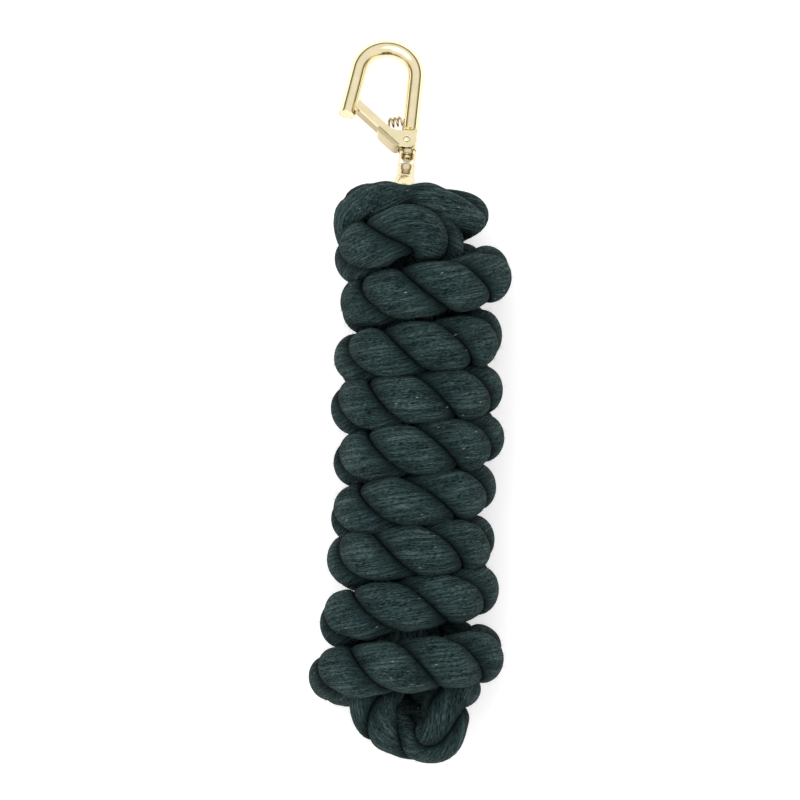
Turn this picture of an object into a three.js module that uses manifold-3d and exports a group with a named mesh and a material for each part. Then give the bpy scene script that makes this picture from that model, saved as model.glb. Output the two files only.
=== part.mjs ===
// A horse's lead rope: three-strand cotton rope wound into a hank, spliced through the swivel eye of
// a brass snap hook. Millimetres, +Z up, +Y towards the hook. The rope lies on z = 0, the hook hangs
// down from the rope's eye loop until its bow touches z = 0 too, and the middle of the whole object's
// box stands over the origin.

import * as THREE from 'three';
import Module from 'manifold-3d';
import { mergeVertices } from 'three/addons/utils/BufferGeometryUtils.js';

const wasm = await Module();
wasm.setup();

// ---- Driving dimensions ----------------------------------------------------------------------

const GAP = 0.3;                      // clearance between touching pieces
const CENTRING = [-0.42, -0.41, 0];   // brings the middle of the whole box over the origin

// Rope
const LOOP_RADIUS = 7.6;              // the eye loop, drawn tight by its splice
const ROPE_SIDES = 12;
const LOOP_STEPS = 26;
const BIGHT_RADIUS = 8.8;             // squeezed a little where it doubles back
const BIGHT_STEPS = 18;
const HANK_BOTTOM_Y = -113;
const HANK_TOP_Y = 60.5;
const HANK_HALF_WIDTH = [35, 32.5];   // at the bottom end and at the top end
const HANK_MIDDLE_X = [-1.5, 4.5];    // the hank leans a little to the right as it rises
const HANK_MIDDLE_Z = 33;
const HANK_HALF_DEPTH = 34;           // cut flat where it lies on z = 0
const HANK_ROUNDING = 7;
const HANK_OVAL_SEGMENTS = 36;
const HANK_ROUNDING_SEGMENTS = 3;
const HOOD_LENGTH = 15;               // the first turn lies over the front of the eye loop
const HOOD_UNDERSIDE_Z = 47;

// The rope's middle line where it isn't wound, chosen by hand
const EYE_LOOP_ROUTE = [
  [-21.5, HANK_TOP_Y + GAP, 30], [-21.5, 64, 30], [-21.4, 68, 31.5], [-18.8, 73.2, 33.2],
  [-14, 75.9, 34.2], [-8.6, 76.2, 34.2], [-3.5, 75.7, 34], [1.9, 76, 34.2], [7.3, 76.3, 34.6],
  [12.9, 75.6, 34.6], [18, 72.9, 33.4], [20.7, 68, 31.5], [20.9, 64, 30], [20.9, HANK_TOP_Y + GAP, 30],
];
const BOTTOM_BIGHT_ROUTE = [
  [-14.4, HANK_BOTTOM_Y - GAP, 31], [-14.4, -115.5, 31], [-14.4, -118, 31], [-12.4, -122.8, 31],
  [-7.4, -126.4, 31], [-1, -128.9, 31], [5.4, -130.6, 31], [10.4, -129, 31], [13, -124, 31],
  [13.2, -118, 31], [13.2, -115.5, 31], [13.2, HANK_BOTTOM_Y - GAP, 31],
];

// Hook: in its own frame x runs across it, y from the eye along the swivel's axis to the bow, and
// z through it. The eye's centre is the frame's origin.
const EYE_CENTRE = [-3.5, 75.7, 34];
const HOOK_YAW = -6.2;                // degrees about the upright axis
const HOOK_DROOP = -27.06;            // degrees that the hook hangs below level
const BAR_RADIUS = 3.15;
const BAR_SIDES = 16;
const BAR_STEPS = 56;
const SHANK_BOTTOM_Y = 24;
const BOW_RADIUS = 11.2;
const BOW_CENTRE_Y = 56.5;
const BOW_TIP = [-24.9, 37];
const FLAT_TOP_Y = 33.8;              // the shank is flattened where the gate's two sides straddle it
const FLAT_HALF_THICKNESS = 2;

// Gate: a folded channel, open towards the hook's throat, with a raised thumb pad on its web
const PIVOT = [-0.9, 27.6];
const GATE_HALF_WIDTH = 3.2;
const GATE_WALL = 0.9;
const GATE_ROUND_END_RADIUS = 3.4;
const GATE_LOWER_TIP = [-21.9, 39.2];
const GATE_UPPER_TIP = [-20.6, 42.4];
const GATE_UPPER_EDGE = [[-8.7, 32.6], [-7, 31.4], [-3, 31.4]];
const GATE_LOWER_END = [-3.6, 24.2];
const WEB_SPAN = [0.05, 0.97];        // where the web runs, from the tip to the lower end
const THUMB_PAD_SPAN = [0.46, 0.97];
const THUMB_PAD_HEIGHT = 1;

const RIVET_RADIUS = 1.2;
const RIVET_HEAD_RADIUS = 1.9;
const RIVET_HEAD_HEIGHT = 0.7;

// Spring: between the shank and the gate's web
const SPRING_WIRE_RADIUS = 0.35;
const SPRING_RADIUS = 1.7;
const SPRING_TURNS = 3.5;
const SPRING_STEPS_PER_TURN = 14;
const SPRING_WIRE_SIDES = 8;
const SPRING_FROM = [-4.3, 35.6, 0];
const SPRING_TO = [-10.4, 33.6, 0];

// Swivel eye: a ring, a neck, and a yoke whose top plate turns on the hook's stud
const RING_INNER_RADIUS = 8.2;
const RING_OUTER_RADIUS = 12;
const RING_HALF_WIDTH = 3.2;
const RING_SEGMENTS = 40;
const NECK_RADIUS = 3.3;
const NECK_BOTTOM_Y = 9.6;
const YOKE_TOP_Y = SHANK_BOTTOM_Y - GAP;
const PLATE_BOTTOM_Y = 21.4;
const WINDOW_BOTTOM_Y = 17.4;
const WINDOW_HALF_WIDTH = 2.4;
const STUD_RADIUS = 1.2;
const STUD_HEAD_RADIUS = 2;
const STUD_HEAD_HEIGHT = 1.5;

// ---- Materials -------------------------------------------------------------------------------

const COTTON = new THREE.MeshStandardMaterial({ color: 0x1f3032, roughness: 0.95, metalness: 0 });
const BRASS = new THREE.MeshStandardMaterial({ color: 0xd9c07a, roughness: 0.18, metalness: 1 });
const SPRING_STEEL = new THREE.MeshStandardMaterial({ color: 0xb9ab7c, roughness: 0.3, metalness: 1 });

// ---- Helpers ---------------------------------------------------------------------------------

const MERGE_DISTANCE = 1e-4;
const ROUND_SIDES = 20;

/** The solid that a closed geometry encloses. */
function solidOf(geometry) {
  const bare = geometry.clone();
  bare.deleteAttribute('normal');
  bare.deleteAttribute('uv');
  const merged = mergeVertices(bare, MERGE_DISTANCE);
  return new wasm.Manifold(new wasm.Mesh({
    numProp: 3,
    vertProperties: new Float32Array(merged.attributes.position.array),
    triVerts: new Uint32Array(merged.index.array),
  }));
}

/** The geometry of a solid's surface. */
function geometryOf(solid) {
  const mesh = solid.getMesh();
  const geometry = new THREE.BufferGeometry();
  geometry.setAttribute('position', new THREE.BufferAttribute(mesh.vertProperties, mesh.numProp));
  geometry.setIndex(new THREE.BufferAttribute(mesh.triVerts, 1));
  geometry.computeVertexNormals();
  return geometry;
}

function piece(name, geometry, material) {
  const mesh = new THREE.Mesh(geometry, material);
  mesh.name = name;
  return mesh;
}

/** A round bar with flat ends along a curve. */
function barAlong(curve, radius, sides, steps) {
  const corners = [];
  for (let i = 0; i < sides; i += 1) {
    const angle = 2 * Math.PI * i / sides;
    corners.push(new THREE.Vector2(radius * Math.cos(angle), radius * Math.sin(angle)));
  }
  return new THREE.ExtrudeGeometry(new THREE.Shape(corners), { steps, extrudePath: curve });
}

function ropeAlong(route, radius, steps) {
  const points = route.map((point) => new THREE.Vector3(...point));
  const curve = new THREE.CatmullRomCurve3(points, false, 'centripetal');
  return barAlong(curve, radius, ROPE_SIDES, steps);
}

/** A flat plate of the given outline, from low to high in z. */
function plate(shape, low, high) {
  const options = { depth: high - low, bevelEnabled: false, curveSegments: ROUND_SIDES };
  return solidOf(new THREE.ExtrudeGeometry(shape, options).translate(0, 0, low));
}

/** A box between two corners. */
function boxBetween(low, high) {
  const size = high.map((value, axis) => value - low[axis]);
  const middle = high.map((value, axis) => (value + low[axis]) / 2);
  return solidOf(new THREE.BoxGeometry(...size).translate(...middle));
}

/** A round pin through the hook at the pivot, from low to high in z. */
function pivotPin(radius, low, high) {
  const pin = new THREE.CylinderGeometry(radius, radius, high - low, ROUND_SIDES);
  return solidOf(pin.rotateX(Math.PI / 2).translate(...PIVOT, (low + high) / 2));
}

/** A round pin on the swivel's axis, from low to high in y. */
function swivelPin(radius, low, high) {
  const pin = new THREE.CylinderGeometry(radius, radius, high - low, ROUND_SIDES);
  return solidOf(pin.translate(0, (low + high) / 2, 0));
}

// ---- Rope ------------------------------------------------------------------------------------

/** Widens and shifts the hank from its bottom end to its top end. */
function leanHank(geometry, builtHalfWidth) {
  const position = geometry.attributes.position;
  for (let i = 0; i < position.count; i += 1) {
    const height = (position.getY(i) - HANK_BOTTOM_Y) / (HANK_TOP_Y - HANK_BOTTOM_Y);
    const halfWidth = THREE.MathUtils.lerp(...HANK_HALF_WIDTH, height);
    const middle = THREE.MathUtils.lerp(...HANK_MIDDLE_X, height);
    position.setX(i, middle + position.getX(i) * halfWidth / builtHalfWidth);
  }
  return geometry;
}

/**
 * The outer shape of the wound turns: an oval drawn out along y with rounded ends, flat where it
 * lies down. At the top only its front half goes on, as a hood over the eye loop.
 */
function ropeHank() {
  const halfWidth = HANK_HALF_WIDTH[0];
  const flatAngle = Math.asin(HANK_MIDDLE_Z / HANK_HALF_DEPTH);
  const oval = new THREE.Shape();
  oval.absellipse(0, 0, halfWidth, HANK_HALF_DEPTH, -flatAngle, Math.PI + flatAngle);
  const topY = HANK_TOP_Y + HOOD_LENGTH;
  const body = new THREE.ExtrudeGeometry(oval, {
    depth: topY - HANK_BOTTOM_Y - 2 * HANK_ROUNDING,
    curveSegments: HANK_OVAL_SEGMENTS,
    bevelThickness: HANK_ROUNDING,
    bevelSize: HANK_ROUNDING,
    bevelOffset: -HANK_ROUNDING,
    bevelSegments: HANK_ROUNDING_SEGMENTS,
  });
  body.rotateX(Math.PI / 2).translate(0, topY - HANK_ROUNDING, HANK_MIDDLE_Z);
  const reach = 2 * halfWidth;
  const underHood = boxBetween([-reach, HANK_TOP_Y, -reach], [reach, topY + reach, HOOD_UNDERSIDE_Z]);
  return geometryOf(solidOf(leanHank(body, halfWidth)).subtract(underHood));
}

function ropeEyeLoop() {
  return ropeAlong(EYE_LOOP_ROUTE, LOOP_RADIUS, LOOP_STEPS);
}

function ropeBottomBight() {
  return ropeAlong(BOTTOM_BIGHT_ROUTE, BIGHT_RADIUS, BIGHT_STEPS);
}

// ---- Hook ------------------------------------------------------------------------------------

/** The bar's middle line: up the shank, round the bow and down to the tip. */
class BarLine extends THREE.Curve {
  getPoint(t) {
    const shankLength = BOW_CENTRE_Y - SHANK_BOTTOM_Y;
    const bowLength = Math.PI * BOW_RADIUS;
    const bowEnd = new THREE.Vector3(-2 * BOW_RADIUS, BOW_CENTRE_Y, 0);
    const tip = new THREE.Vector3(...BOW_TIP, 0);
    const along = t * (shankLength + bowLength + bowEnd.distanceTo(tip));
    if (along < shankLength) {
      return new THREE.Vector3(0, SHANK_BOTTOM_Y + along, 0);
    }
    if (along < shankLength + bowLength) {
      const angle = (along - shankLength) / BOW_RADIUS;
      const x = BOW_RADIUS * (Math.cos(angle) - 1);
      return new THREE.Vector3(x, BOW_CENTRE_Y + BOW_RADIUS * Math.sin(angle), 0);
    }
    const pastBow = along - shankLength - bowLength;
    return bowEnd.lerp(tip, pastBow / bowEnd.distanceTo(tip));
  }
}

/** Bow and shank in one bar, with flats for the gate and a headed stud for the swivel. */
function hookBody() {
  let body = solidOf(barAlong(new BarLine(), BAR_RADIUS, BAR_SIDES, BAR_STEPS));
  const reach = 2 * BAR_RADIUS;
  for (const side of [-1, 1]) {
    const faces = [side * FLAT_HALF_THICKNESS, side * reach].sort((a, b) => a - b);
    const flat = boxBetween(
      [-reach, SHANK_BOTTOM_Y - GAP, faces[0]],
      [reach, FLAT_TOP_Y, faces[1]],
    );
    body = body.subtract(flat);
  }
  body = body.subtract(pivotPin(RIVET_RADIUS + GAP, -reach, reach));
  const headTop = PLATE_BOTTOM_Y - GAP;
  const stud = swivelPin(STUD_RADIUS, headTop - STUD_HEAD_HEIGHT / 2, SHANK_BOTTOM_Y + GAP);
  const head = swivelPin(STUD_HEAD_RADIUS, headTop - STUD_HEAD_HEIGHT, headTop);
  return geometryOf(body.add(stud).add(head));
}

/** One side of the gate, seen along z. */
function gateSide() {
  const side = new THREE.Shape();
  side.moveTo(...GATE_LOWER_TIP);
  side.lineTo(...GATE_UPPER_TIP);
  GATE_UPPER_EDGE.forEach((corner) => side.lineTo(...corner));
  const [upperX, upperY] = GATE_UPPER_EDGE.at(-1);
  const startAngle = Math.atan2(upperY - PIVOT[1], upperX - PIVOT[0]);
  side.absarc(...PIVOT, GATE_ROUND_END_RADIUS, startAngle, -Math.PI / 2, true);
  side.lineTo(...GATE_LOWER_END);
  return side;
}

/** A strip along the gate's lower edge, between two depths measured inwards from that edge. */
function gateStrip(span, depths) {
  const tip = new THREE.Vector2(...GATE_LOWER_TIP);
  const end = new THREE.Vector2(...GATE_LOWER_END);
  const edge = end.clone().sub(tip).normalize();
  const inwards = new THREE.Vector2(-edge.y, edge.x);
  const corner = (along, depth) => tip.clone().lerp(end, along).addScaledVector(inwards, depth);
  return new THREE.Shape([
    corner(span[0], depths[0]),
    corner(span[1], depths[0]),
    corner(span[1], depths[1]),
    corner(span[0], depths[1]),
  ]);
}

function gateLever() {
  const outer = GATE_HALF_WIDTH;
  const inner = GATE_HALF_WIDTH - GATE_WALL;
  return geometryOf(plate(gateSide(), inner, outer)
    .add(plate(gateSide(), -outer, -inner))
    .add(plate(gateStrip(WEB_SPAN, [0, GATE_WALL]), -outer, outer))
    .add(plate(gateStrip(THUMB_PAD_SPAN, [-THUMB_PAD_HEIGHT, GATE_WALL]), -outer, outer))
    .subtract(pivotPin(RIVET_RADIUS + GAP, -2 * outer, 2 * outer)));
}

function gateRivet() {
  const headBase = GATE_HALF_WIDTH + GAP;
  const headTop = headBase + RIVET_HEAD_HEIGHT;
  return geometryOf(pivotPin(RIVET_RADIUS, -headTop, headTop)
    .add(pivotPin(RIVET_HEAD_RADIUS, headBase, headTop))
    .add(pivotPin(RIVET_HEAD_RADIUS, -headTop, -headBase)));
}

/** The spring's wire: a helix about the line between its two seats. */
class SpringLine extends THREE.Curve {
  getPoint(t) {
    const from = new THREE.Vector3(...SPRING_FROM);
    const to = new THREE.Vector3(...SPRING_TO);
    const axis = to.clone().sub(from).normalize();
    const across = new THREE.Vector3(-axis.y, axis.x, 0);
    const angle = 2 * Math.PI * SPRING_TURNS * t;
    return from.lerp(to, t)
      .addScaledVector(across, SPRING_RADIUS * Math.cos(angle))
      .addScaledVector(new THREE.Vector3(0, 0, 1), SPRING_RADIUS * Math.sin(angle));
  }
}

function gateSpring() {
  const steps = SPRING_TURNS * SPRING_STEPS_PER_TURN;
  return barAlong(new SpringLine(), SPRING_WIRE_RADIUS, SPRING_WIRE_SIDES, steps);
}

/** The ring: an oval section turned about x, the rope's direction through it. */
function eyeRing() {
  const middle = (RING_INNER_RADIUS + RING_OUTER_RADIUS) / 2;
  const thickness = (RING_OUTER_RADIUS - RING_INNER_RADIUS) / 2;
  const profile = [];
  for (let i = 0; i <= ROUND_SIDES / 2; i += 1) {
    const angle = 4 * Math.PI * i / ROUND_SIDES;
    const radius = middle + thickness * Math.cos(angle);
    profile.push(new THREE.Vector2(radius, RING_HALF_WIDTH * Math.sin(angle)));
  }
  return solidOf(new THREE.LatheGeometry(profile, RING_SEGMENTS).rotateZ(Math.PI / 2));
}

function swivelEye() {
  const reach = 2 * NECK_RADIUS;
  const window = boxBetween(
    [-WINDOW_HALF_WIDTH, WINDOW_BOTTOM_Y, -reach],
    [WINDOW_HALF_WIDTH, PLATE_BOTTOM_Y, reach],
  );
  return geometryOf(eyeRing()
    .add(swivelPin(NECK_RADIUS, NECK_BOTTOM_Y, YOKE_TOP_Y))
    .subtract(window)
    .subtract(swivelPin(STUD_RADIUS + GAP, PLATE_BOTTOM_Y - GAP, YOKE_TOP_Y + GAP)));
}

// ---- Assembly --------------------------------------------------------------------------------

const hook = new THREE.Group();
hook.position.set(...EYE_CENTRE);
hook.rotation.set(
  THREE.MathUtils.degToRad(HOOK_DROOP), 0, THREE.MathUtils.degToRad(HOOK_YAW), 'ZXY',
);
hook.add(
  piece('swivel_eye', swivelEye(), BRASS),
  piece('hook_body', hookBody(), BRASS),
  piece('gate_lever', gateLever(), BRASS),
  piece('gate_rivet', gateRivet(), BRASS),
  piece('gate_spring', gateSpring(), SPRING_STEEL),
);

const leadRope = new THREE.Group();
leadRope.position.set(...CENTRING);
leadRope.add(
  piece('rope_hank', ropeHank(), COTTON),
  piece('rope_eye_loop', ropeEyeLoop(), COTTON),
  piece('rope_bottom_bight', ropeBottomBight(), COTTON),
  hook,
);

export default leadRope;
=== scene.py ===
"""A horse's lead rope, wound into a hank, with a swivelling brass snap hook spliced to its end.

The rope is one three-strand cotton rope, and each strand is a piece of its own. Lengths in the
driving dimensions are millimetres in the frame that part.mjs works in; placed() turns them into
metres in the row frame.
"""

import math

import bpy
import numpy as np
from mathutils import Matrix, Vector


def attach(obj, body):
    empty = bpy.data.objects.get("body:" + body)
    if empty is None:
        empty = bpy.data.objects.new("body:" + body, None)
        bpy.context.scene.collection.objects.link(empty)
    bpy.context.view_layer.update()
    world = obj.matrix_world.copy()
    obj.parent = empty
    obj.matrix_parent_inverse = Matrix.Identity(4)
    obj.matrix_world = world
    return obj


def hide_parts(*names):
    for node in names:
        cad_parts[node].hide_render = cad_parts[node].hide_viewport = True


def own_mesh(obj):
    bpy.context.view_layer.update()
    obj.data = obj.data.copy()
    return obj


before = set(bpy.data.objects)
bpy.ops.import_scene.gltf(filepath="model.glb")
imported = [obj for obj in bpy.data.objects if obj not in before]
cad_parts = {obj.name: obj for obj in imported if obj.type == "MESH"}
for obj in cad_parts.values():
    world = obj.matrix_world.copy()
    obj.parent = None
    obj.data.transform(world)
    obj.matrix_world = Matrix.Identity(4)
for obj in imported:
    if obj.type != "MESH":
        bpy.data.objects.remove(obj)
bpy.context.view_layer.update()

# ---- Driving dimensions ---------------------------------------------------------------------

MM = 0.001
CENTRING = np.array([-0.42, -0.41, 0.0])

# Rope
LAY_LENGTH = 54.0          # along the rope, for one full turn of a strand
STRANDS = 3
ROPE_RADIUS = 10.5         # over the strands' crests, in the wound turns
LOOP_RADIUS = 7.7          # drawn tight in the eye loop
BIGHT_RADIUS = 9.0
VALLEY = 0.71              # groove bottom, as a part of the crest's radius
PROFILE_POWER = 2.3        # how full a strand's outside is: 2 is half an oval
WOUND_SHEAR = 0.65         # how far a wound turn's sections lean along it, for their height
STRAND_HALF_ANGLE = math.radians(59.6)
ARC_POINTS = 30
CORE_RADIUS = 0.18         # inner edge of a strand, as a part of the crest's radius
RING_SPACING = 1.4         # between the strands' sections
CURVE_STEPS = 24           # between two points of a route
LINE_SMOOTHING = 2         # the widths of these averages are in sections
TURN_SMOOTHING = 12
FADE_SMOOTHING = 9
STRAND_LUMPS = 0.32        # height of a strand's soft unevenness
LUMP_WAVES = 9
LUMP_LENGTHS = (9, 42)
YARN_OFFSET = 200.0        # along the yarns, from one strand's texture to the next one's

HANK_MIDDLE_Z = 33.0
TURN_HALF_DEPTH = 22.8     # of the rope's middle line in front of and behind the hank's middle
POINTS_PER_HALF_TURN = 10

# The wound turns from the bottom up: where each one's middle line crosses the hank's left and
# right sides (x, y), and where a groove between two strands crosses its front (x)
TURNS = [
    ((-28.9, -104.9), (26.2, -97.2), 3.5),
    ((-25.4, -83.7), (23.5, -71.4), 6.2),
    ((-22.3, -60.6), (22.3, -53.7), -7.1),
    ((-20.8, -43.3), (22.3, -32.5), -15.0),
    ((-19.6, -22.1), (25.2, -13.3), -10.0),
    ((-20.8, -2.1), (25.0, 4.8), -11.2),
    ((-19.3, 16.4), (25.4, 25.2), -2.8),
    ((-17.3, 37.5), (28.5, 49.1), 3.5),
]
TOP_TURN_GROOVE = (-7.1, 62.8)
BIGHT_GROOVE = (4.5, -129.0)
GROOVE_SEARCH_HEIGHT = 9.0   # above and below the place given for a groove
HEADING_RIGHT = 0.5          # the least x of the rope's direction across the front of a turn

# Where the rope's thickness changes
LOOP_END_Y = 50.0
SPLICE_PARTS = 30            # the splice lies in the first of this many parts of the rope
BIGHT_START_Y = -112.0
BIGHT_END_Y = -106.0

# The rope's route where it isn't wound, from the splice's inner end on
SPLICE_ROUTE = [(3, 36, 30), (4, 44, 28), (5, 53, 24), (8, 61.5, 19.5)]
EYE_LOOP_ROUTE = [
    (13.5, 67.5, 18), (19.5, 70, 21), (22.6, 71.4, 27), (21.6, 72.6, 33), (17.3, 74, 35.6),
    (12.2, 75.4, 35.6),
    (7.3, 76.6, 34.8), (1.9, 76.2, 34.2), (-3.5, 75.7, 34), (-9.6, 76.4, 34.3),
    (-15.8, 76.9, 34.5), (-20.6, 75.2, 33), (-22.6, 71.6, 29.5), (-21, 68, 23.5),
    (-14.5, 62.5, 20),
]
CORE_ROUTE = [
    (-8, 54, 24), (-4, 44, 30), (-2, 30, 33), (0, 0, 33), (0, -30, 33), (0, -60, 33),
    (-4, -90, 32), (-9, -104, 31),
]
BIGHT_ROUTE = [
    (-14.4, -113.3, 34), (-14.4, -118, 34), (-12.4, -122.8, 32), (-7.4, -126.4, 28),
    (-1, -128.6, 25.5), (5.4, -130.4, 27.5), (10.6, -129.4, 33), (13, -125, 36.5), (13.2, -119, 35),
    (15, -113, 30), (18, -108, 24), (17.5, -107.5, 17), (9, -111.5, 12), (-3, -113.5, 10.6),
    (-15, -111, 12.5), (-24.5, -107.5, 20),
]
TAIL_ROUTE = [
    (-18.5, 55.5, 33), (-18.5, 58, 43), (-15.4, 60.4, 50), (-8.4, 63.4, 55.5), (-1, 65.7, 57),
    (5.2, 64.6, 51.5), (9.2, 62, 42), (10.8, 58.8, 33), (9.5, 55, 26), (5, 50.5, 24),
]

# A strand of the splice that is tucked over the ring's bar, and pinched there
TUCK_ROUTE = [
    (-23, 60, 34), (-24.8, 66, 39), (-24, 71.6, 43), (-19.5, 76, 46), (-13.1, 78.4, 47.5),
    (-8, 78.8, 48.6), (-3, 79.8, 49.4), (1.5, 80.2, 49.2), (6.2, 78.8, 48.4), (11.2, 76.6, 47),
    (16, 74.2, 45.5), (20.4, 72, 43), (23.6, 70.2, 38.5), (24, 69.2, 32),
]
TUCK_RADIUS = 6.4
TUCK_PINCH = 0.42           # taken off the radius over the ring, as a part of it
TUCK_PINCH_REACH = 5.0
TUCK_PINCH_X = -1.0
TUCK_SIDES = 40
TUCK_SPACING = 0.8
TUCK_SMOOTHING = 3
TUCK_END_ANGLE = 0.12       # the ends taper as the sine of an angle that starts here
TUCK_TAPER_POWER = 0.25
TUCK_LUMPS = 0.25
TUCK_YARN_TWIST = 0.35      # of its yarns round it, for each unit along it
TUCK_SHADE = 0.2            # in place of a groove's depth, away from the pinch
TUCK_PINCH_SHADE = 1.2

# Fuzz: loose fibres that stand off the cotton
FIBRES = 9000
FIBRE_REACH = (0.8, 2.6)
FIBRE_THICKNESS = 0.05
FIBRE_SIDES = 3
FIBRE_SEGMENTS = 4
FIBRE_LEAN = 0.9
FIBRE_CURL = 0.5
FIBRE_TAPER = 0.7
FIBRE_ROOT_DEPTH = 0.2
FIBRE_DEEPEST_ROOT = 0.9    # as a part of the way from a strand's crest to its groove

# Hook, in its own frame: x across, y from the eye along the swivel's axis to the bow, z through
EYE_CENTRE = np.array([-3.5, 75.7, 34.0])
HOOK_YAW = math.radians(-6.2)
HOOK_DROOP = math.radians(-27.06)
BAR_RADIUS = 3.25
BAR_SIDES = 40
BAR_SPACING = 0.35
BAR_SMOOTHING = 5
BAR_END_ROUNDING = 0.35
BOW_STEPS = 110
LEG_STEPS = 50
ROUNDING_STEPS = 5
SHANK_BOTTOM_Y = 24.0
BOW_RADIUS = 11.2
BOW_CENTRE_Y = 56.5
BOW_TIP = (-24.9, 37.0)
FLAT_TOP_Y = 32.2
FLAT_STEP = 0.6            # the flats run out into the round bar over this length
FLAT_HALF_THICKNESS = 2.0
PIVOT = (-0.9, 27.6)
GATE_HALF_WIDTH = 3.2
GATE_WALL = 0.9
GATE_ROUND_END_RADIUS = 3.7
GATE_LOWER_TIP = (-21.9, 39.2)
GATE_UPPER_TIP = (-20.6, 42.4)
GATE_UPPER_EDGE = [(-8.7, 32.6), (-7.0, 31.4), (-3.0, 31.2)]
GATE_LOWER_END = (-3.6, 24.2)
GATE_ARC_STEPS = 28
WEB_SPAN = (0.05, 0.97)
WEB_INSET = 0.05
THUMB_PAD_SPAN = (0.52, 0.99)
THUMB_PAD_HEIGHT = 1.5
THUMB_PAD_ROLL = 0.12      # the rolled ends' length, as a share of the gate's lower edge
THUMB_PAD_BASE = 0.9       # how deep it is sunk in, as a part of the gate's wall
ARC_STEPS = 9              # round a small quarter circle
RIVET_RADIUS = 1.2
RIVET_HEAD_RADIUS = 1.5
RIVET_HEAD_HEIGHT = 0.4
CLEARANCE = 0.3
GATE_EDGE_ROUNDING = 0.3
ROUNDING_SEGMENTS = 3
ROUNDED_ABOVE = math.radians(30)
SHARP_ABOVE = 35           # degrees between two faces, for an edge to show
SPRING_SHARP_ABOVE = 60
# Shares of the painted dark reflection on the gate's folded edge and on its thumb pad
WEB_DARK_REFLECTION = 1.0
PAD_DARK_REFLECTION = 0.6
SPRING_WIRE_RADIUS = 0.45
SPRING_RADIUS = 1.75
SPRING_TURNS = 3.0
SPRING_STEPS = 26          # in one turn
SPRING_SIDES = 12
SPRING_END_ROUNDING = 0.1
SPRING_FROM = np.array([-3.7, 36.6, 0.0])
SPRING_TO = np.array([-8.7, 35.1, 0.0])
RING_INNER_RADIUS = 8.2
RING_OUTER_RADIUS = 12.0
RING_HALF_WIDTH = 3.2
RING_SECTIONS = 96
RING_SIDES = 28
NECK_RADIUS = 3.3
NECK_FLARE = [(1.25, 8.6), (1.2, 10.5), (1.08, 12.5), (1.0, 14.5)]   # share of the radius, y
NECK_EDGE = 0.25
NECK_SIDES = 48
CAST_GRAIN = 0.3           # how finely the casting's skin is cut
CAST_SMOOTHING = 8
YOKE_TOP_Y = 23.7
PLATE_BOTTOM_Y = 21.4
WINDOW_BOTTOM_Y = 17.4
WINDOW_HALF_WIDTH = 2.4
PLATE_LOWER_EDGE = 0.2
PLATE_UPPER_EDGE = 0.4
POST_OVERLAP = 0.5         # of the posts with the neck and with the plate
POST_STEPS = 16
STUD_RADIUS = 1.2
STUD_HEAD_RADIUS = 2.0
STUD_HEAD_HEIGHT = 1.5
STUD_HEAD_CROWN = 0.75     # the crown's radius, as a part of the head's
STUD_HEAD_EDGE = 0.6       # the edge's height, as a part of the head's
PIN_SIDES = 32

# Camera and lights, in metres
CAMERA_AIM = (-0.00466, 0.00055)
CAMERA_HEIGHT = 8.0
VIEW_WIDTH = 0.308         # across the picture, at the hank's middle height
SENSOR_WIDTH = 36.0
WORLD_STRENGTH = 1.0
SKY = [                    # height as a part of straight up, and the colour there
    (0.0, (0.12, 0.09, 0.05, 1)),
    (0.20, (0.20, 0.16, 0.10, 1)),
    (0.44, (1, 1, 1, 1)),
]
FLOOR_HALF = 6.0
FLOOR_COLOUR = (0.93, 0.93, 0.93, 1)
FLOOR_ROUGHNESS = 0.9
FLOOR_GLOW = 0.4           # a light table under the object keeps the floor white round it
KEY_POWER = 12.0
KEY_PLACE = (-0.5, 0.6, 1.8)
KEY_SIZE = 1.6

# Colours
COTTON_DARK = (0.0015, 0.0055, 0.0060, 1)
COTTON_MID = (0.0275, 0.0535, 0.0540, 1)
COTTON_LIGHT = (0.080, 0.122, 0.1210, 1)
SPECK_BLUE = (0.05, 0.10, 0.30, 1)
SPECK_TAN = (0.30, 0.28, 0.22, 1)
POLISHED_BRASS = (0.90, 0.79, 0.51, 1)
CAST_BRASS = (0.80, 0.67, 0.43, 1)
SPRING_WIRE = (0.60, 0.50, 0.30, 1)
PAINTED_DARK_REFLECTION = (0.42, 0.34, 0.18, 1)   # painted dark reflection on the gate's folded edge and thumb pad, standing for dark surroundings seen in the metal

# Cotton: widths across the yarns and lengths along them, in millimetres
WANDER_SIZE = (7.0, 16.0)
WANDER_REACH = 3.0
RIPPLE_SIZE = (2.4, 4.5)
RIPPLE_REACH = 1.1
YARN_SIZE = (1.75, 26.0)
YARN_EDGE = 0.22
FIBRE_SIZE = (0.34, 2.6)
PATCH_SIZE = (5.0, 9.0)
GRAIN_SIZE = (0.5, 1.1)
SPECK_SIZE = (0.55, 1.1)

# Each texture's middle value, and how much it lightens or darkens the cotton about it
MIDDLE_TONE = 0.52
YARN_TONE = (0.7, 0.35)
FIBRE_TONE = (0.5, 1.3)
PATCH_TONE = (0.5, 0.9)
GRAIN_TONE = (0.5, 1.8)
GROOVE_SHADE = 0.97
GROOVE_SHADE_POWER = 2.7

SPECK_RADIUS = 0.42          # as a part of its cell
SPECK_RARITY = 0.9945        # of the cells hold no speck
SPECK_BLUE_SHARE = 0.3
SPECK_STRENGTH = 0.75

COTTON_ROUGHNESS = 0.92
COTTON_GLOSS = 0.12
COTTON_BUMP = (0.8, 0.0009)              # strength, depth in metres
COTTON_BUMP_PARTS = (0.6, 0.6, 0.4)      # of the yarns, the fibres and the grain
FUZZ_ROUGHNESS = 0.9
FUZZ_GLOSS = 0.1

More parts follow.
